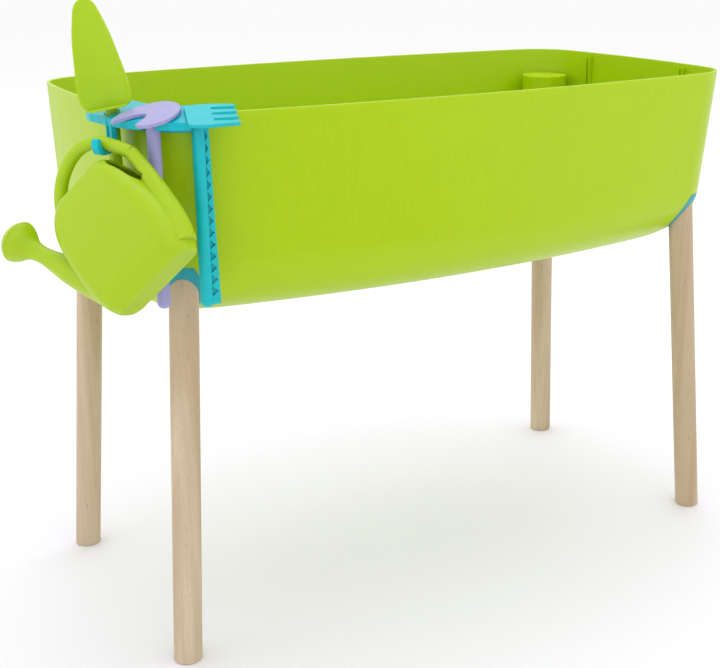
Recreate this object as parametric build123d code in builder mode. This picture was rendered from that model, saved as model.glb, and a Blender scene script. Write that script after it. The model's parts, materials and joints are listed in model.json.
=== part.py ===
"""Raised planter on four splayed wooden legs, with a lift-off tool rack, three tools and a can.

Millimetres, +Z up, +X along the planter's long side, +Y towards its back.
The legs stand on Z = 0. The hung tools and can reach out past the front left corner, so the
planter's own centre lies a little to the right and back of the part's origin.
"""
import os
from math import asin, atan2, cos, degrees, hypot, radians, sin, sqrt, tan

from build123d import *

os.makedirs("parts", exist_ok=True)

# ---------------------------------------------------------------- driving dimensions
planter_x = 60.0
planter_y = 27.0

rim_z = 577.5
rim_dip = 2.3
half_length = 379.5
half_width = 203.0
end_bow = 20.0
side_bow = 26.0
corner_radius = 61.0
wall = 3.0
side_draft = 0.11
end_draft = 0.006
floor_z = 361.5
bend_radius = 67.0
bend_steps = 8
foot_end_bow = 19.6
foot_side_bow = 35.0
foot_corner_radius = 54.0

leg_diameter = 30.0
leg_foot_x = 362.1
leg_foot_y = 161.2
leg_splay_x = 0.0687
leg_splay_y = 0.0514
leg_top_z = 478.0
leg_end_chamfer = 1.6

column_x = 327.5
column_y = 135.0
column_top_z = 546.0
column_foot_z = 352.0
column_top_radius = 30.0
column_foot_radius = 32.0
web_thickness = 2.5

socket_radius = 21.5
socket_collar_z = 425.0
socket_wall = 2.6
socket_disc = 6.0
bore_gap = 0.05
screw_shank_radius = 2.5
screw_head_radius = 5.5
screw_length = 52.0

drain_radius = 10.0
drain_flange_radius = 14.5

rack_inner = 47.0
rack_outer = 87.5
rack_top_z = 583.0
rack_slope = 14.0
rack_end_angle = 260.5
rack_arm_end_y = -58.0
rack_plate = 2.8
lip_height = 7.5
lip_height_left = 2.4
rim_gap = 0.5
inner_gap = 2.2
skirt = 2.5
outer_skirt_drop = 17.0
inner_skirt_drop = 12.0

handle_radius = 6.5
handle_length = 183.0
handle_depth_top = 8.5
handle_depth_foot = 13.0
handle_back = 7.0
notch_gap = 1.0
rest_gap = 0.3
head_thickness = 3.2

can_wall = 2.0
can_lean = 14.0
can_heading = -55.0
can_tilt = 46.4
spout_wall = 1.8
handle_tube_radius = 6.2

corners = {"front_left": (-1, -1), "front_right": (1, -1), "back_left": (-1, 1), "back_right": (1, 1)}
leg_slant = sqrt(1 + leg_splay_x**2 + leg_splay_y**2)


# ---------------------------------------------------------------- shared geometry
def at(x, y, z):
    """A point given from the planter's centre on the ground, in the part's frame."""
    return (x + planter_x, y + planter_y, z)


def level(z):
    """Horizontal plane at height z, centred on the planter."""
    return Plane(origin=at(0, 0, z))


def polar(angle, radius):
    """Horizontal offset of a point at an angle and a radius."""
    return (radius * cos(radians(angle)), radius * sin(radians(angle)))


def bowed_corner(half_l, half_w, bow_end, bow_side, radius):
    """Corner arc's centre and the bowed side's and bowed end's arc centres, first quadrant."""
    side_radius = (half_l**2 + bow_side**2) / (2 * bow_side)
    end_radius = (half_w**2 + bow_end**2) / (2 * bow_end)
    side_y = half_w - side_radius
    end_x = half_l - end_radius
    to_side = side_radius - radius
    to_end = end_radius - radius
    span = hypot(end_x, side_y)
    along = (to_side**2 - to_end**2 + span**2) / (2 * span)
    across = sqrt(to_side**2 - along**2)
    ux = end_x / span
    uy = -side_y / span
    x = ux * along + uy * across
    y = side_y + uy * along - ux * across
    return x, y, side_y, end_x


def bowed_points(half_l, half_w, bow_end, bow_side, radius):
    """Side joint, corner middle and end joint of the outline's first quadrant."""
    x, y, side_y, end_x = bowed_corner(half_l, half_w, bow_end, bow_side, radius)
    side_angle = degrees(atan2(y - side_y, x))
    end_angle = degrees(atan2(y, x - end_x))
    joints = []
    for angle in (side_angle, (side_angle + end_angle) / 2, end_angle):
        dx, dy = polar(angle, radius)
        joints.append((x + dx, y + dy))
    return joints


def bowed_face(half_l, half_w, bow_end, bow_side, radius):
    """Rounded rectangle whose sides and ends bow outwards, as a face in the open sketch."""
    side, mid, end = bowed_points(half_l, half_w, bow_end, bow_side, radius)
    with BuildLine() as outline:
        ThreePointArc((-side[0], side[1]), (0, half_w), side)
        ThreePointArc(side, mid, end)
        ThreePointArc(end, (half_l, 0), (end[0], -end[1]))
        ThreePointArc((end[0], -end[1]), (mid[0], -mid[1]), (side[0], -side[1]))
        ThreePointArc((side[0], -side[1]), (0, -half_w), (-side[0], -side[1]))
        ThreePointArc((-side[0], -side[1]), (-mid[0], -mid[1]), (-end[0], -end[1]))
        ThreePointArc((-end[0], -end[1]), (-half_l, 0), (-end[0], end[1]))
        ThreePointArc((-end[0], end[1]), (-mid[0], mid[1]), (-side[0], side[1]))
    make_face(outline.edges())


def tub_size(z, inset):
    """The tub's outline at height z, moved in by an inset, as bowed_face's arguments."""
    depth = rim_z - z
    share = depth / (rim_z - floor_z)
    radius = bend_radius - inset
    below = max(0.0, floor_z + bend_radius - z)
    curl = radius - sqrt(max(0.0, radius**2 - below**2))
    return (
        half_length - inset - end_draft * depth - curl,
        half_width - inset - side_draft * depth - curl,
        end_bow + (foot_end_bow - end_bow) * share,
        side_bow + (foot_side_bow - side_bow) * share,
        corner_radius + (foot_corner_radius - corner_radius) * share - inset,
    )


def tub_outlines(heights, inset):
    """The tub's outline faces at the given heights, moved in by an inset."""
    outlines = []
    for z in heights:
        with BuildSketch(level(z)) as outline:
            bowed_face(*tub_size(z, inset))
        outlines.append(outline.sketch.faces()[0])
    return outlines


def bend_heights(inset):
    """Heights at even steps round the lower bend, from its top down."""
    steps = [90 * step / bend_steps for step in range(bend_steps + 1)]
    return [floor_z + bend_radius - (bend_radius - inset) * sin(radians(step)) for step in steps]


def leg_line(sx, sy, z):
    """Point on a leg's axis at height z, from the planter's centre."""
    return (sx * (leg_foot_x - leg_splay_x * z), sy * (leg_foot_y - leg_splay_y * z))


def leg_plane(sx, sy, z):
    """Plane square to a leg's axis, facing up it, where the axis is at height z."""
    x, y = leg_line(sx, sy, z)
    return Plane(origin=at(x, y, z), z_dir=(-sx * leg_splay_x, -sy * leg_splay_y, 1))


def column_cone(sx, sy, low, high, inset):
    """A leg column's outline as a cone between two heights, in the open part."""
    fall = (column_foot_radius - column_top_radius) / (column_top_z - column_foot_z)
    low_radius = column_top_radius + fall * (column_top_z - low) - inset
    high_radius = column_top_radius + fall * (column_top_z - high) - inset
    with Locations(at(sx * column_x, sy * column_y, (low + high) / 2)):
        Cone(low_radius, high_radius, high - low)


# ---------------------------------------------------------------- tub
bend_top_z = floor_z + bend_radius
with BuildPart() as envelope:
    loft(tub_outlines((rim_z, bend_top_z), 0), ruled=True)
    loft(tub_outlines(bend_heights(0), 0))

with BuildPart() as columns:
    for sx, sy in corners.values():
        column_cone(sx, sy, column_foot_z, column_top_z, 0)
        web_length = half_length - column_x
        with Locations(at(sx * (column_x + web_length / 2), sy * column_y, (floor_z + column_top_z) / 2)):
            Box(web_length, web_thickness, column_top_z - floor_z - 8)
    add(envelope.part, mode=Mode.INTERSECT)

with BuildPart() as guide_ribs:
    for sx, sy in corners.values():
        for rib_y in (87.5, 93.5):
            with Locations(at(sx * (half_length - 8), sy * rib_y, rim_z - 55)):
                Box(10, 1.6, 100)
    add(envelope.part, mode=Mode.INTERSECT)

with BuildPart() as inside:
    loft(tub_outlines((rim_z + 6, bend_top_z), wall), ruled=True)
    loft(tub_outlines(bend_heights(wall), wall))

with BuildPart() as column_hollows:
    for sx, sy in corners.values():
        column_cone(sx, sy, column_foot_z - 4, column_top_z - wall, wall)
        with BuildSketch(leg_plane(sx, sy, socket_collar_z)):
            Circle(socket_radius)
        extrude(amount=leg_top_z - socket_collar_z)
    add(inside.part, mode=Mode.INTERSECT)
    for sx, sy in corners.values():
        with BuildSketch(leg_plane(sx, sy, floor_z - 30)):
            Circle(socket_radius)
        extrude(amount=socket_collar_z - floor_z + 30)

with BuildPart() as rim_cutter:
    with BuildSketch(Plane.XZ.offset(-half_width - 30).move(Location(at(0, 0, 0)))):
        with BuildLine():
            ThreePointArc((-half_length, rim_z), (0, rim_z - rim_dip), (half_length, rim_z))
            Polyline((half_length, rim_z), (half_length + 20, rim_z), (half_length + 20, rim_z + 20),
                     (-half_length - 20, rim_z + 20), (-half_length - 20, rim_z), (-half_length, rim_z))
        make_face()
    extrude(amount=2 * half_width + 60)

with BuildPart() as tub:
    add(envelope.part)
    add(inside.part, mode=Mode.SUBTRACT)
    add(columns.part)
    add(guide_ribs.part)
    add(column_hollows.part, mode=Mode.SUBTRACT)
    add(rim_cutter.part, mode=Mode.SUBTRACT)
    with Locations(at(0, 0, floor_z)):
        Cylinder(drain_radius, 20, mode=Mode.SUBTRACT)

tub.part.label = "tub"
export_step(tub.part, "parts/tub.step")


# ---------------------------------------------------------------- legs, their sockets and screws
def build_leg(sx, sy):
    """A round wooden leg, cut level at the floor and square at its top."""
    with BuildPart() as leg:
        with BuildSketch(leg_plane(sx, sy, -20)):
            Circle(leg_diameter / 2)
        extrude(amount=(leg_top_z + 20) * leg_slant)
        split(bisect_by=Plane.XY, keep=Keep.TOP)
        chamfer(leg.faces().sort_by(Axis.Z)[0].edges(), leg_end_chamfer)
        with BuildSketch(leg_plane(sx, sy, leg_top_z)):
            Circle(screw_shank_radius)
        extrude(amount=-screw_length, mode=Mode.SUBTRACT)
    return leg.part


def build_socket(sx, sy):
    """Ribbed sleeve round the leg's top, with a collar that fills the hole in the tub."""
    with BuildPart() as socket:
        with BuildSketch(leg_plane(sx, sy, socket_collar_z - 2)):
            Circle(leg_diameter / 2 + socket_wall)
            Rectangle(2 * socket_radius - 1, 2.2)
            Rectangle(2.2, 2 * socket_radius - 1)
        extrude(amount=leg_top_z + socket_disc - socket_collar_z + 2)
        add(inside.part, mode=Mode.INTERSECT)
        with BuildSketch(leg_plane(sx, sy, floor_z - 30)):
            Circle(socket_radius - bore_gap)
        extrude(amount=socket_collar_z - floor_z + 30 - bore_gap)
        add(envelope.part, mode=Mode.INTERSECT)
        with BuildSketch(leg_plane(sx, sy, leg_top_z + bore_gap)):
            Circle(leg_diameter / 2 + bore_gap)
        extrude(amount=-200, mode=Mode.SUBTRACT)
        with BuildSketch(leg_plane(sx, sy, leg_top_z)):
            Circle(screw_shank_radius + bore_gap)
        extrude(amount=30, mode=Mode.SUBTRACT)
    return socket.part


def build_screw(sx, sy):
    """Pan-head wood screw down through the socket's disc into the leg's end."""
    seat_z = leg_top_z + socket_disc + 0.1
    with BuildPart() as screw:
        with BuildSketch(leg_plane(sx, sy, seat_z)):
            Circle(screw_head_radius)
        extrude(amount=3.2)
        fillet(screw.edges().sort_by(Axis.Z)[-1], 1.6)
        with BuildSketch(leg_plane(sx, sy, seat_z)):
            Circle(screw_shank_radius - bore_gap)
        extrude(amount=-(screw_length - 4))
        with BuildSketch(leg_plane(sx, sy, seat_z + 1.6)):
            Rectangle(5.2, 1.1)
            Rectangle(1.1, 5.2)
        extrude(amount=4, mode=Mode.SUBTRACT)
    return screw.part


for place, (sx, sy) in corners.items():
    leg = build_leg(sx, sy)
    leg.label = f"leg_{place}"
    export_step(leg, f"parts/leg_{place}.step")
    leg_socket = build_socket(sx, sy)
    leg_socket.label = f"leg_socket_{place}"
    export_step(leg_socket, f"parts/leg_socket_{place}.step")
    leg_screw = build_screw(sx, sy)
    leg_screw.label = f"leg_screw_{place}"
    export_step(leg_screw, f"parts/leg_screw_{place}.step")

# ---------------------------------------------------------------- drain plug and its seal
with BuildPart() as drain_plug:
    with BuildSketch(level(floor_z - 2.2)):
        Circle(drain_flange_radius)
    extrude(amount=-3.5)
    fillet(drain_plug.edges().sort_by(Axis.Z)[0], 1.5)
    with BuildSketch(level(floor_z - 2.2)):
        Circle(drain_radius - 0.3)
        Circle(drain_radius - 2.6, mode=Mode.SUBTRACT)
    extrude(amount=9)
    with BuildSketch(level(floor_z - 5.7)):
        SlotOverall(18, 4)
    extrude(amount=-7)
    fillet(drain_plug.edges().group_by(Axis.Z)[0], 0.8)
drain_plug.part.label = "drain_plug"
export_step(drain_plug.part, "parts/drain_plug.step")

with BuildPart() as drain_seal:
    with BuildSketch(level(floor_z - 2.15)):
        Circle(drain_flange_radius - 1.2)
        Circle(drain_radius + 0.2, mode=Mode.SUBTRACT)
    extrude(amount=1.85)
drain_seal.part.label = "drain_seal"
export_step(drain_seal.part, "parts/drain_seal.step")

# ---------------------------------------------------------------- tool rack
rack_x, rack_y, _, rim_end_x = bowed_corner(half_length, half_width, end_bow, side_bow, corner_radius)
joint_angle = degrees(atan2(rack_y, rack_x - rim_end_x))
end_arc_radius = hypot(rack_x - rim_end_x, rack_y) + corner_radius
arm_angle = joint_angle - degrees(asin(-rack_arm_end_y / end_arc_radius))
rim_outer = corner_radius + rim_gap
rim_inner = corner_radius - wall - inner_gap


def rack_top(radius):
    """Height of the rack's sloped top at a distance from the rim's corner centre."""
    return rack_top_z - (radius - rack_inner) * tan(radians(rack_slope))


def rack_seat(angle, radius, turn):
    """Plane just above the rack's slope at a polar place, +X turned from straight outwards."""
    dx, dy = polar(angle, radius)
    tip = radians(rack_slope)
    out_x, out_y = polar(angle, 1)
    outwards = Vector(out_x * cos(tip), out_y * cos(tip), -sin(tip))
    square = Vector(out_x * sin(tip), out_y * sin(tip), cos(tip))
    around = square.cross(outwards)
    x_dir = outwards * cos(radians(turn)) + around * sin(radians(turn))
    origin = Vector(at(dx - rack_x, dy - rack_y, rack_top(radius))) + square * rest_gap
    return Plane(origin=origin, x_dir=x_dir, z_dir=square)


rack_section = Plane(
    origin=at(-rack_x, -rack_y, 0),
    x_dir=(-cos(radians(joint_angle)), -sin(radians(joint_angle)), 0),
    z_dir=(-sin(radians(joint_angle)), cos(radians(joint_angle)), 0),
)
rim_seat_z = rim_z + rest_gap
corner_axis = Axis(at(-rack_x, -rack_y, 0), (0, 0, 1))
arm_axis = Axis(at(-rim_end_x, 0, 0), (0, 0, 1))
stem_angle = 188.0
stem_radius = rack_outer - 2.6
stem_width = 14.0
stem_thickness = 3.4
hook_heading = 215.0
hook_width = 7.0
hook_gap = 0.7
hook_thickness = 3.4
tube_centre = (-409.8, -156.0, 553.4)


def plate_points():
    """The sloped plate and its hanging lip, in the rack's section plane."""
    return [
        (rack_inner, rack_top_z),
        (rack_outer, rack_top(rack_outer)),
        (rack_outer, rack_top(rack_outer) - lip_height),
        (rack_outer - skirt, rack_top(rack_outer) - lip_height),
        (rack_outer - skirt, rack_top(rack_outer) - rack_plate),
        (rim_outer + skirt + 4, rack_top(rim_outer + skirt + 4) - rack_plate),
    ]


def tool_plane(x, y, z, heading, lean_heading, lean):
    """Plane square to a tool's handle: +X towards its smooth front, +Z up the handle."""
    lean_x, lean_y = polar(lean_heading, sin(radians(lean)))
    up = Vector(lean_x, lean_y, cos(radians(lean)))
    front_x, front_y = polar(heading, 1)
    return Plane(origin=at(x, y, z), x_dir=Vector(front_x, front_y, 0), z_dir=up)


hoe_angle = 221.1
hoe_radius = 77.8
rake_angle = 252.4
rake_radius = 74.7
hoe_dx, hoe_dy = polar(hoe_angle, hoe_radius)
rake_dx, rake_dy = polar(rake_angle, rake_radius)
tool_places = {
    "hoe": tool_plane(hoe_dx - rack_x, hoe_dy - rack_y, rack_top(hoe_radius) + 2, 238, 0, 0),
    "rake": tool_plane(rake_dx - rack_x, rake_dy - rack_y, rack_top(rake_radius) + 2, 162.4, 0, 0),
    "trowel": tool_plane(-387.5, -119.9, 583.0, 237.6, 0, 0),
}


def handle_notch(place, way_out, back_out=False):
    """Clearance for one handle, open at an angle from its front, or closed for no angle."""
    back = handle_depth_foot + notch_gap
    with BuildPart() as notch:
        with BuildSketch(place.offset(-40)):
            Circle(handle_radius + notch_gap)
            with Locations((-back / 2, 0)):
                Rectangle(back, handle_back + 2 * notch_gap)
            if way_out is not None:
                with PolarLocations(15, 1, start_angle=way_out):
                    Rectangle(30, 2 * (handle_radius + notch_gap))
            if back_out:
                with Locations((-back / 2, 15 - handle_back / 2 - notch_gap)):
                    Rectangle(back, 30)
        extrude(amount=60)
    return notch.part


notches = [
    handle_notch(tool_places["hoe"], -16.9),
    handle_notch(tool_places["rake"], 90, True),
    handle_notch(tool_places["trowel"], None),
]
hook_x, hook_y, hook_z = tube_centre
hook_front_x, hook_front_y = polar(hook_heading, 1)
hook_plane = Plane(
    origin=at(hook_x, hook_y, hook_z - handle_tube_radius - hook_gap),
    x_dir=(hook_front_x, hook_front_y, 0),
    z_dir=(hook_front_y, -hook_front_x, 0),
)

hook_base_z = hook_z - handle_tube_radius - hook_gap - hook_thickness
stem_x, stem_y = polar(stem_angle, stem_radius)
stem_x -= rack_x
stem_y -= rack_y
stem_out_x, stem_out_y = polar(stem_angle, 1)
hook_arm = hypot(hook_x - stem_x, hook_y - stem_y)
lip_foot_z = rack_top(rack_outer) - lip_height
lip_left_z = rack_top(rack_outer) - lip_height_left
lip_side = Plane(origin=at(-376, 0, 0), x_dir=(0, 1, 0), z_dir=(-1, 0, 0))

with BuildPart() as tool_rack:
    with BuildSketch(rack_section):
        with BuildLine():
            Polyline(
                *plate_points(),
                (rim_outer + skirt, rack_top(rim_outer + skirt) - rack_plate),
                (rim_outer + skirt, rim_z - outer_skirt_drop),
                (rim_outer, rim_z - outer_skirt_drop),
                (rim_outer, rim_seat_z),
                (rim_inner, rim_seat_z),
                (rim_inner, rim_z - inner_skirt_drop),
                (rim_inner - skirt, rim_z - inner_skirt_drop),
                (rim_inner - skirt, rim_seat_z),
                (rack_inner, rim_seat_z),
                close=True,
            )
        make_face()
    revolve(axis=corner_axis, revolution_arc=rack_end_angle - 180 - joint_angle)
    with BuildSketch(rack_section):
        with BuildLine():
            Polyline(*plate_points(), (rim_outer, rim_seat_z), (rack_inner, rim_seat_z), close=True)
        make_face()
    revolve(axis=arm_axis, revolution_arc=-arm_angle)
    with BuildSketch(level(rim_z - 30)):
        with BuildLine():
            ThreePointArc((-400.5, -104), (-399, -78), (-383, rack_arm_end_y + 2))
            Polyline((-383, rack_arm_end_y + 2), (-420, rack_arm_end_y + 2), (-420, -104), (-400.5, -104))
        make_face()
    extrude(amount=50, mode=Mode.SUBTRACT)
    with BuildSketch(lip_side):
        Polygon((-190, lip_foot_z), (-133, lip_left_z), (-50, lip_left_z), (-50, lip_foot_z - 20),
                (-190, lip_foot_z - 20), align=None)
    extrude(amount=34, mode=Mode.SUBTRACT)
    stem_plane = Plane(
        origin=at(stem_x, stem_y, hook_base_z),
        x_dir=(stem_out_x, stem_out_y, 0),
        z_dir=(0, 0, 1),
    )
    with BuildSketch(stem_plane):
        Rectangle(stem_thickness, stem_width)
        with Locations((stem_thickness / 2 + 0.6, -4.6), (stem_thickness / 2 + 0.6, 4.6)):
            Rectangle(1.6, 1.8)
    extrude(amount=rack_top(rack_outer) - 1 - hook_base_z)
    hook_arm_plane = Plane(
        origin=at(stem_x, stem_y, hook_base_z),
        x_dir=(hook_x - stem_x, hook_y - stem_y, 0),
        z_dir=(0, 0, 1),
    )
    with BuildSketch(hook_arm_plane):
        with Locations((hook_arm / 2, 0)):
            Rectangle(hook_arm, hook_width)
    extrude(amount=hook_thickness - 0.8)
    with BuildSketch(hook_plane):
        with BuildLine():
            Polyline((-5, 0), (-4, 0), (0, -0.4), (6.2, 1.6), (8.4, 5), (9, 11), (11.5, 12.6), (14, 11.2),
                     (14.2, 3.5), (11.4, -1.6), (5.5, -3.4), (-5, -3.4), (-5, 0))
        make_face()
        fillet(vertices().sort_by(Axis.X)[-6:], 1.0)
    extrude(amount=hook_width / 2, both=True)
    for notch in notches:
        add(notch, mode=Mode.SUBTRACT)
tool_rack.part.label = "tool_rack"
export_step(tool_rack.part, "parts/tool_rack.step")


# ---------------------------------------------------------------- hand tools
def handle_depth(drop):
    """How far the ribbed back stands behind the handle's axis, at a distance down it."""
    return handle_depth_top + (handle_depth_foot - handle_depth_top) * drop / handle_length


def place_axis(place):
    """The handle's own axis."""
    return Axis(place.origin, place.z_dir)


def build_handle(place, top):
    """Round-fronted handle with a triangle-ribbed back, hanging below a place."""
    side = Plane(origin=place.origin, x_dir=place.x_dir, z_dir=place.y_dir * -1)
    pitch = 11.4
    rib_web = 0.7
    with BuildPart() as bar:
        with BuildSketch(place.offset(top)):
            Circle(handle_radius)
        extrude(amount=-(handle_length + top))
        fillet(bar.faces().sort_by(place_axis(place))[0].edges(), 5.5)
        with BuildSketch(side):
            Polygon((0, -9), (-handle_depth(9), -9), (-handle_depth(handle_length - 4), 4 - handle_length),
                    (0, 2 - handle_length), align=None)
        extrude(amount=handle_back / 2, both=True)
        for way in (1, -1):
            with BuildSketch(side.offset(way * rib_web)):
                for step in range(14):
                    high = -14 - pitch * step
                    tip = 1.4 - handle_depth(-high)
                    Polygon((-4.9, high), (-4.9, high - pitch + 1.6), (tip, high - pitch / 2 + 0.8),
                            align=None)
            extrude(amount=way * 5, mode=Mode.SUBTRACT)
    return bar.part


with BuildPart() as rake:
    with BuildSketch(rack_seat(rake_angle, rake_radius, 0)):
        with BuildLine():
            Polyline((-20, -11), (27, -11), (28.5, 13), (-23, 13), close=True)
        make_face()
        fillet(vertices(), 4)
        for tine_x in (-18.2, -4.8, 8.6, 22.4):
            Polygon((tine_x - 4.8, 9), (tine_x + 4.8, 9), (tine_x + 2.4, 34), (tine_x - 2.4, 34), align=None)
            with Locations((tine_x, 34)):
                Circle(2.4)
    extrude(amount=head_thickness)
    add(build_handle(tool_places["rake"], 0))
rake.part.label = "rake"
export_step(rake.part, "parts/rake.step")

with BuildPart() as double_hoe:
    with BuildSketch(rack_seat(hoe_angle, hoe_radius, -33.8)):
        with BuildLine():
            Spline((33.5, -16.5), (18, -25.5), (-8, -28), (-27, -20), (-31, -6), (-24, 10), (-8, 20.5),
                   (10, 22), (22, 15))
            Line((22, 15), (22.4, 9))
            Spline((22.4, 9), (9, 2), (2.5, -6), (11, -11.5), (33, -12))
            Line((33, -12), (33.5, -16.5))
        make_face()
    extrude(amount=head_thickness)
    add(build_handle(tool_places["hoe"], 0))
double_hoe.part.label = "double_hoe"
export_step(double_hoe.part, "parts/double_hoe.step")

trowel_place = tool_places["trowel"]
blade_lean = 11.0
blade_radius = 34.0
blade_thickness = 2.4
blade_offset = 6.0
blade_root = tool_plane(-387.5, -119.9, 583.0, 237.6, 147.6, blade_lean)
blade_face = Plane(origin=blade_root.origin, x_dir=blade_root.y_dir, z_dir=blade_root.x_dir)
with BuildPart() as trowel:
    with BuildSketch(blade_root.offset(-3)):
        with Locations((blade_radius + blade_offset, 0)):
            Circle(blade_radius + blade_thickness)
            Circle(blade_radius, mode=Mode.SUBTRACT)
    extrude(amount=102)
    with BuildSketch(blade_root.offset(-3)):
        with Locations((blade_radius + blade_offset, 0)):
            Circle(blade_radius + blade_thickness)
    extrude(amount=blade_thickness)
    with BuildSketch(blade_face.offset(-5)):
        with BuildLine():
            Spline((0, 98), (7, 95.5), (12.6, 84), (17, 68), (22, 37), (24.4, 11), (22, 1), (14, -3))
            Line((14, -3), (-14, -3))
            Spline((-14, -3), (-22, 1), (-24.4, 11), (-22, 37), (-17, 68), (-12.6, 84), (-7, 95.5), (0, 98))
        make_face()
    extrude(amount=23, mode=Mode.INTERSECT)
    with BuildSketch(trowel_place.offset(-4)):
        Circle(handle_radius)
    with BuildSketch(blade_root.offset(26)):
        Circle(2.2)
    loft()
    add(build_handle(trowel_place, 0))
trowel.part.label = "trowel"
export_step(trowel.part, "parts/trowel.step")


# ---------------------------------------------------------------- watering can
can_along = Vector(cos(radians(can_heading)), sin(radians(can_heading)), 0)
can_out = Vector(sin(radians(can_heading)), -cos(radians(can_heading)), 0)
can_upright = Vector(0, 0, cos(radians(can_lean))) - can_out * sin(radians(can_lean))
can_u = can_along * cos(radians(can_tilt)) + can_upright * sin(radians(can_tilt))
can_v = can_upright * cos(radians(can_tilt)) - can_along * sin(radians(can_tilt))
can_w = can_along.cross(can_upright)
can_hook_u = 90.0
can_hook_v = 134.4

# Height up the can, front and rear of its body, and half its thickness there.
can_body = [
    (0, 4, 96, 16),
    (14, -3, 101, 23),
    (45, -7, 105, 25),
    (80, -5, 100, 24),
    (105, 2, 92, 20),
    (121, 18, 82, 13),
]
# The handle's flared foot: place, direction, and half its depth and width there.
can_flare = [
    (105.8, 108.5, 0.12, -0.99, 6.2, 6.2),
    (106.2, 90, 0.0, -1.0, 7.4, 7.0),
    (103.6, 66, -0.12, -0.99, 10.5, 9.5),
    (99.4, 38, -0.16, -0.99, 13.0, 13.5),
    (95.5, 10, -0.14, -0.99, 9.0, 15.0),
]
spout_length = 124.0
spout_root_radius = 15.0
spout_waist = [(30, 14.5), (68, 11.8), (93, 8.2), (106, 10.4), (116, 17)]
rose_radius = 20.5
rose_rise = 13.0


def can_at(u, v, w=0.0):
    """A point of the can, from its base's front corner: u to its rear, v up, w to its outer side."""
    hook = Vector(at(*tube_centre))
    return hook + can_u * (u - can_hook_u) + can_v * (v - can_hook_v) + can_w * w


def spout_profile(end, inset):
    """The spout's outline along its axis, moved in by an inset."""
    waist = [(along, radius - inset) for along, radius in spout_waist]
    return [(0, spout_root_radius - inset), *waist, (end, rose_radius - inset)]


def body_sections(inset):
    """Planes and sizes of the can body's sections, moved in by an inset."""
    last = len(can_body) - 1
    for step, (v, front, rear, half) in enumerate(can_body):
        lift = inset if step == 0 else -inset if step == last else 0
        section = Plane(origin=can_at((front + rear) / 2, v + lift), x_dir=can_u, z_dir=can_v)
        yield section, rear - front - 2 * inset, 2 * (half - inset), 0.72 * half - inset


spout_dir = (can_u * -54 + can_v * 116).normalized()
spout_plane = Plane(origin=can_at(10, 18), x_dir=spout_dir, z_dir=can_w)
spout_axis = Axis(can_at(10, 18), spout_dir)
mouth_normal = (can_u * 0.954 + can_v * 0.3).normalized()
mouth_plane = Plane(origin=can_at(91, 98), x_dir=can_w, z_dir=mouth_normal)
handle_start = can_at(11, 112)
handle_heading = can_u * 0.35 + can_v * 0.94

with BuildPart() as watering_can:
    for section, length, depth, radius in body_sections(0):
        with BuildSketch(section):
            RectangleRounded(length, depth, radius)
    loft()
    fillet(watering_can.faces().sort_by(Axis(can_at(0, 0), can_v))[0].edges(), 3)
    with BuildSketch(spout_plane):
        with BuildLine():
            Polyline((spout_length, rose_radius), (spout_length, 0), (0, 0), (0, spout_root_radius))
            Spline(*spout_profile(spout_length, 0))
        make_face()
    revolve(axis=spout_axis)
    with BuildLine():
        first = TangentArc(handle_start, can_at(55, 148.5), tangent=handle_heading)
        second = TangentArc(first @ 1, can_at(can_hook_u, can_hook_v), tangent=first % 1)
        TangentArc(second @ 1, can_at(106, 108), tangent=second % 1)
    with BuildSketch(Plane(origin=handle_start, z_dir=handle_heading)):
        Circle(handle_tube_radius)
    sweep()
    for u, v, along_u, along_v, half_depth, half_width in can_flare:
        heading = can_u * along_u + can_v * along_v
        with BuildSketch(Plane(origin=can_at(u, v), x_dir=can_w, z_dir=heading)):
            Ellipse(half_width, half_depth)
    loft()
    for section, length, depth, radius in body_sections(can_wall):
        with BuildSketch(section):
            RectangleRounded(length, depth, radius)
    loft(mode=Mode.SUBTRACT)
    with BuildSketch(spout_plane):
        with BuildLine():
            Polyline((spout_length + 1, rose_radius - spout_wall), (spout_length + 1, 0), (0, 0),
                     (0, spout_root_radius - spout_wall))
            Spline(*spout_profile(spout_length + 1, spout_wall))
        make_face()
    revolve(axis=spout_axis, mode=Mode.SUBTRACT)
    with BuildSketch(mouth_plane.offset(-16)):
        SlotOverall(46, 27, rotation=90)
    extrude(amount=25, mode=Mode.SUBTRACT)
watering_can.part.label = "watering_can"
export_step(watering_can.part, "parts/watering_can.step")

rose_seat = Plane(origin=can_at(10, 18) + spout_dir * spout_length, x_dir=can_w, z_dir=spout_dir)
with BuildPart() as can_rose:
    with BuildSketch(spout_plane):
        with BuildLine():
            Polyline((spout_length, rose_radius), (spout_length, rose_radius - 2.4),
                     (spout_length - 3, rose_radius - 4.6), (spout_length - 3, rose_radius - 6),
                     (spout_length, rose_radius - 4.2))
            ThreePointArc((spout_length, rose_radius - 4.2), (spout_length + 8.2, 10.5),
                          (spout_length + 11, 0))
            Line((spout_length + 11, 0), (spout_length + rose_rise, 0))
            ThreePointArc((spout_length + rose_rise, 0), (spout_length + 9.6, 12.2),
                          (spout_length, rose_radius))
        make_face()
    revolve(axis=spout_axis)
    with BuildSketch(rose_seat):
        Circle(1.1)
        for ring, count in ((5.2, 6), (10, 12), (14.4, 18)):
            with PolarLocations(ring, count):
                Circle(1.1)
    extrude(amount=30, mode=Mode.SUBTRACT)
can_rose.part.label = "can_rose"
export_step(can_rose.part, "parts/can_rose.step")
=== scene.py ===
"""Looks of the raised planter: materials on the fixed CAD frame, a pale studio and its camera."""
import json
from math import pi

import bpy
from mathutils import Matrix, Vector

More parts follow.
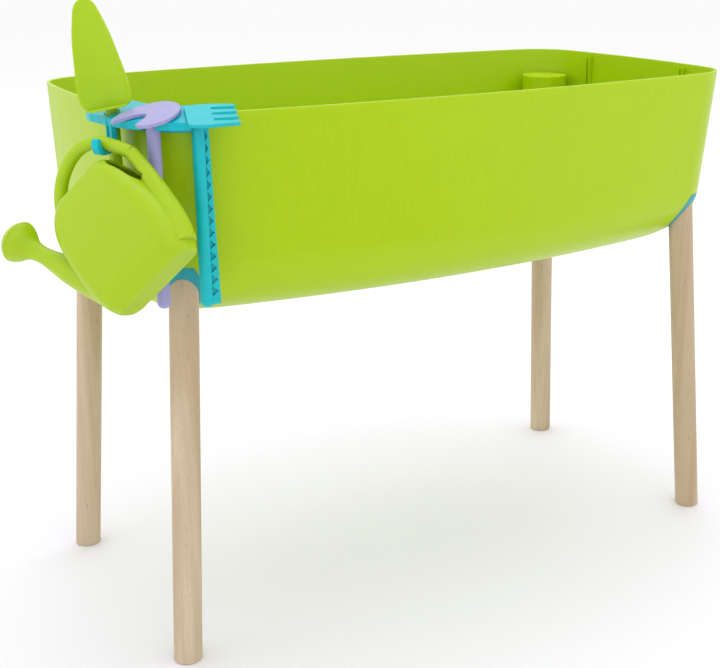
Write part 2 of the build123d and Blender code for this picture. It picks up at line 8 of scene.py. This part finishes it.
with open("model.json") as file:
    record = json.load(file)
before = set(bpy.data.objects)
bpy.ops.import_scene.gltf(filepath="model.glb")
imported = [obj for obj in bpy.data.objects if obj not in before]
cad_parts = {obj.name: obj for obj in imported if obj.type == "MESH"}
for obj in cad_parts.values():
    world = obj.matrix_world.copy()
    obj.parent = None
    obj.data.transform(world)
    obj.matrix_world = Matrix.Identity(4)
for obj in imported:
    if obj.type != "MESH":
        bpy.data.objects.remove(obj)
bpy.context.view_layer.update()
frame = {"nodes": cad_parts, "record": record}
nodes = frame["nodes"]


def linear(red, green, blue):
    """A display colour from 0 to 255 as the linear colour that shaders use."""
    channels = [value / 255 for value in (red, green, blue)]
    out = [c / 12.92 if c <= 0.04045 else ((c + 0.055) / 1.055) ** 2.4 for c in channels]
    return (*out, 1.0)


class Graph:
    """A material's node tree, built node by node."""

    def __init__(self, name):
        self.material = bpy.data.materials.new(name)
        self.material.use_nodes = True
        self.tree = self.material.node_tree
        self.shader = self.tree.nodes["Principled BSDF"]
        self.coords = self.tree.nodes.new("ShaderNodeTexCoord").outputs["Object"]

    def put(self, socket, value):
        """Links a socket or sets its value."""
        if isinstance(value, bpy.types.NodeSocket):
            self.tree.links.new(value, socket)
        else:
            socket.default_value = value

    def set(self, **values):
        """Sets or links the surface shader's sockets."""
        for name, value in values.items():
            self.put(self.shader.inputs[name.replace("_", " ")], value)

    def scaled(self, x, y, z, turn=(0, 0, 0)):
        """Object coordinates stretched along each axis."""
        node = self.tree.nodes.new("ShaderNodeMapping")
        self.put(node.inputs["Vector"], self.coords)
        node.inputs["Scale"].default_value = (x, y, z)
        node.inputs["Rotation"].default_value = turn
        return node.outputs["Vector"]

    def noise(self, where, scale, detail=4.0, roughness=0.55, distortion=0.0):
        """Fractal noise from 0 to 1."""
        node = self.tree.nodes.new("ShaderNodeTexNoise")
        self.put(node.inputs["Vector"], where)
        node.inputs["Scale"].default_value = scale
        node.inputs["Detail"].default_value = detail
        node.inputs["Roughness"].default_value = roughness
        node.inputs["Distortion"].default_value = distortion
        return node.outputs["Fac"]

    def remap(self, value, low, high, to_low=0.0, to_high=1.0):
        """A value moved linearly from one range to another, held at its ends."""
        node = self.tree.nodes.new("ShaderNodeMapRange")
        self.put(node.inputs["Value"], value)
        node.inputs["From Min"].default_value = low
        node.inputs["From Max"].default_value = high
        node.inputs["To Min"].default_value = to_low
        node.inputs["To Max"].default_value = to_high
        return node.outputs["Result"]

    def blend(self, share, first, second):
        """Two colours mixed by a share from 0 to 1."""
        node = self.tree.nodes.new("ShaderNodeMix")
        node.data_type = "RGBA"
        self.put(node.inputs[0], share)
        self.put(node.inputs[6], first)
        self.put(node.inputs[7], second)
        return node.outputs[2]

    def bump(self, height, strength, distance, under=None):
        """A surface normal raised by a height."""
        node = self.tree.nodes.new("ShaderNodeBump")
        node.inputs["Strength"].default_value = strength
        node.inputs["Distance"].default_value = distance
        self.put(node.inputs["Height"], height)
        if under is not None:
            self.put(node.inputs["Normal"], under)
        return node.outputs["Normal"]

    def soft_edges(self, radius):
        """A normal that rounds off sharp edges."""
        node = self.tree.nodes.new("ShaderNodeBevel")
        node.samples = 4
        node.inputs["Radius"].default_value = radius
        return node.outputs["Normal"]


def moulded(name, base, shade, rough, streaks=(90, 90, 90), streak_share=0.25, gloss=0.4, depth=0.08):
    """Moulded plastic: faint flow variation, fine grain, rounded edges and some light inside."""
    g = Graph(name)
    flow = g.noise(g.scaled(*streaks), 1.0, 6.0, 0.6)
    broad = g.noise(g.coords, 5.0, 2.0)
    fine = g.noise(g.coords, 1500.0, 2.0)
    colour = g.blend(g.remap(flow, 0.35, 0.7, 0.0, streak_share), base, shade)
    colour = g.blend(g.remap(broad, 0.3, 0.75, 0.0, 0.18), colour, shade)
    g.set(Base_Color=colour, Roughness=g.remap(flow, 0.3, 0.7, rough - 0.05, rough + 0.07))
    g.set(Specular_IOR_Level=gloss, Subsurface_Weight=depth, Subsurface_Scale=0.005)
    g.shader.inputs["Subsurface Radius"].default_value = (1.0, 1.0, 0.4)
    normal = g.bump(flow, 0.12, 0.0005, g.soft_edges(0.0008))
    g.set(Normal=g.bump(fine, 0.10, 0.00012, normal))
    return g.material


def beech(name):
    """Sanded beech: long pale grain with the short dark flecks of its rays."""
    g = Graph(name)
    grain = g.noise(g.scaled(160, 160, 5), 1.0, 8.0, 0.62, 0.4)
    bands = g.noise(g.scaled(38, 38, 1.3), 1.0, 4.0, 0.5, 0.8)
    flecks = g.noise(g.scaled(900, 900, 95), 1.0, 2.0, 0.5)
    pores = g.noise(g.scaled(2200, 2200, 260), 1.0, 1.0, 0.5)
    pale = linear(208, 190, 162)
    warm = linear(184, 160, 128)
    dark = linear(132, 102, 74)
    colour = g.blend(g.remap(bands, 0.3, 0.7), pale, warm)
    colour = g.blend(g.remap(grain, 0.45, 0.75, 0.0, 0.55), colour, warm)
    fleck_share = g.remap(flecks, 0.66, 0.74, 0.0, 0.55)
    colour = g.blend(fleck_share, colour, dark)
    colour = g.blend(g.remap(pores, 0.66, 0.8, 0.0, 0.3), colour, dark)
    g.set(Base_Color=colour, Roughness=g.remap(grain, 0.3, 0.7, 0.5, 0.68), Specular_IOR_Level=0.3)
    normal = g.bump(grain, 0.22, 0.0004, g.soft_edges(0.0006))
    g.set(Normal=g.bump(flecks, 0.12, 0.0002, normal))
    return g.material


def plated_steel(name):
    """Zinc-plated steel with fine turning marks."""
    g = Graph(name)
    turned = g.noise(g.scaled(300, 300, 3000), 1.0, 3.0)
    g.set(Base_Color=g.blend(g.remap(turned, 0.3, 0.7), linear(170, 172, 176), linear(205, 206, 208)))
    g.set(Metallic=1.0, Roughness=g.remap(turned, 0.3, 0.7, 0.28, 0.42))
    g.set(Normal=g.bump(turned, 0.15, 0.0002, g.soft_edges(0.0003)))
    return g.material


def seal_rubber(name):
    """Matt black rubber with a dusty bloom."""
    g = Graph(name)
    dust = g.noise(g.coords, 260.0, 5.0, 0.6)
    g.set(Base_Color=g.blend(g.remap(dust, 0.4, 0.75), linear(30, 30, 30), linear(70, 68, 66)), Roughness=0.8)
    g.set(Normal=g.bump(dust, 0.25, 0.0003))
    return g.material


looks = {
    "tub": moulded(
        "tub_plastic", linear(174, 204, 0), linear(163, 194, 0), 0.34,
        streaks=(330, 330, 7), streak_share=0.35, gloss=0.32, depth=0.4,
    ),
    "leg_socket": moulded("socket_plastic", linear(10, 158, 165), linear(0, 132, 145), 0.40),
    "leg_wood": beech("beech_wood"),
    "leg_screw": plated_steel("screw_steel"),
    "tool_rack": moulded("rack_plastic", linear(0, 186, 200), linear(0, 160, 182), 0.34, gloss=0.28),
    "rake": moulded("rake_plastic", linear(0, 188, 196), linear(0, 166, 180), 0.36, gloss=0.34),
    "double_hoe": moulded("hoe_plastic", linear(163, 159, 207), linear(143, 138, 195), 0.36),
    "trowel": moulded("trowel_plastic", linear(170, 203, 6), linear(158, 192, 0), 0.38, depth=0.35),
    "watering_can": moulded("can_plastic", linear(168, 200, 2), linear(156, 188, 0), 0.36, depth=0.4),
    "can_rose": moulded("rose_plastic", linear(168, 200, 2), linear(156, 188, 0), 0.38, depth=0.4),
    "drain_plug": moulded("plug_plastic", linear(120, 150, 20), linear(95, 125, 10), 0.45),
    "drain_seal": seal_rubber("seal_rubber"),
}
smooth_angle = 0.6
for entry in frame["record"]["subparts"]:
    piece = nodes[entry["node"]]
    piece.data.materials.clear()
    piece.data.materials.append(looks[entry["material_slot"]])
    for face in piece.data.polygons:
        face.material_index = 0
    piece.data.shade_smooth()
    piece.data.set_sharp_from_angle(angle=smooth_angle)

# ---------------------------------------------------------------- studio
floor_low = (-40.0, -40.0)
floor_high = (40.0, 40.0)
card_low = (-0.1, -1.9)
card_high = (0.75, -0.75)
card_height = 0.003


def paper_with_painted_shade():
    """White paper with painted shade around the planter: darker and bluer there, a painted shadow tinted
    against the planter's green bounce light.
    """
    g = Graph("paper_with_painted_shade")
    mottle = g.noise(g.coords, 3.0, 3.0)
    distance = g.tree.nodes.new("ShaderNodeVectorMath")
    distance.operation = "LENGTH"
    g.put(distance.inputs[0], g.coords)
    # Painted shade: a darker, bluer paper colour around the planter, standing in for its shadow and
    # offsetting its green bounce light, mottled at random.
    painted_shade_tint = g.blend(mottle, (0.885, 0.865, 0.95, 1), (0.895, 0.875, 0.96, 1))
    # The painted shade fades to plain white paper between 0.35 and 1.6 from the floor's centre, where the
    # planter stands.
    painted_shade_fade = g.remap(distance.outputs["Value"], 0.35, 1.6)
    g.set(Base_Color=g.blend(painted_shade_fade, painted_shade_tint, (0.96, 0.96, 0.965, 1)))
    g.set(Roughness=0.55, Specular_IOR_Level=0.3)
    return g.material


def card_felt():
    """Nearly black felt with a faint nap."""
    g = Graph("card_felt")
    nap = g.noise(g.coords, 40.0, 3.0)
    g.set(Base_Color=g.blend(nap, (0.03, 0.035, 0.03, 1), (0.06, 0.065, 0.06, 1)), Roughness=0.95)
    return g.material


def level_sheet(name, low, high, height, material):
    """A level rectangle that is part of the studio, not of the planter."""
    mesh = bpy.data.meshes.new(name)
    corners = [(low[0], low[1], height), (high[0], low[1], height),
               (high[0], high[1], height), (low[0], high[1], height)]
    mesh.from_pydata(corners, [], [(0, 1, 2, 3)])
    mesh.materials.append(material)
    sheet = bpy.data.objects.new(name, mesh)
    bpy.context.scene.collection.objects.link(sheet)
    return sheet


# The floor paper carries the painted shade around the planter.
floor = level_sheet("studio_floor", floor_low, floor_high, 0.0, paper_with_painted_shade())

# The card shows only in reflections: it darkens the gloss on the left of the tub's front wall.
card = level_sheet("dark_card", card_low, card_high, card_height, card_felt())
card.visible_camera = False
card.visible_diffuse = False
card.visible_shadow = False

world = bpy.data.worlds.new("studio_world")
world.use_nodes = True
world.node_tree.nodes["Background"].inputs["Color"].default_value = (1.0, 1.0, 1.0, 1)
world.node_tree.nodes["Background"].inputs["Strength"].default_value = 1.0
bpy.context.scene.world = world


def softbox(name, place, aim, width, height, power):
    """A rectangular studio light at a place, facing an aim point."""
    light = bpy.data.lights.new(name, "AREA")
    light.shape = "RECTANGLE"
    light.size = width
    light.size_y = height
    light.energy = power
    lamp = bpy.data.objects.new(name, light)
    lamp.location = place
    lamp.rotation_euler = (Vector(aim) - Vector(place)).to_track_quat("-Z", "Y").to_euler()
    bpy.context.scene.collection.objects.link(lamp)


softbox("key_light", (-0.6, -2.6, 2.6), (0.0, 0.0, 0.4), 2.6, 1.8, 10)
softbox("side_light", (-3.0, 0.2, 1.2), (-0.3, 0.0, 0.45), 1.6, 2.0, 5)
softbox("top_light", (0.5, 0.6, 3.4), (0.1, 0.1, 0.3), 3.2, 3.2, 34)

# ---------------------------------------------------------------- camera
view_point = Vector((-0.733666, -1.261421, 0.740192))
turn = -0.565018
tilt = 0.319404
camera_data = bpy.data.cameras.new("camera")
camera_data.sensor_width = 36.0
camera_data.lens = 63.4506
camera_data.shift_x = -0.0724
camera_data.shift_y = 0.0193
camera_data.clip_end = 200.0
camera = bpy.data.objects.new("camera", camera_data)
aim = Matrix.Rotation(turn, 4, "Z") @ Matrix.Rotation(pi / 2 - tilt, 4, "X")
camera.matrix_world = Matrix.Translation(view_point) @ aim
bpy.context.scene.collection.objects.link(camera)
bpy.context.scene.camera = camera
bpy.context.scene.view_settings.view_transform = "Standard"

bpy.context.view_layer.update()
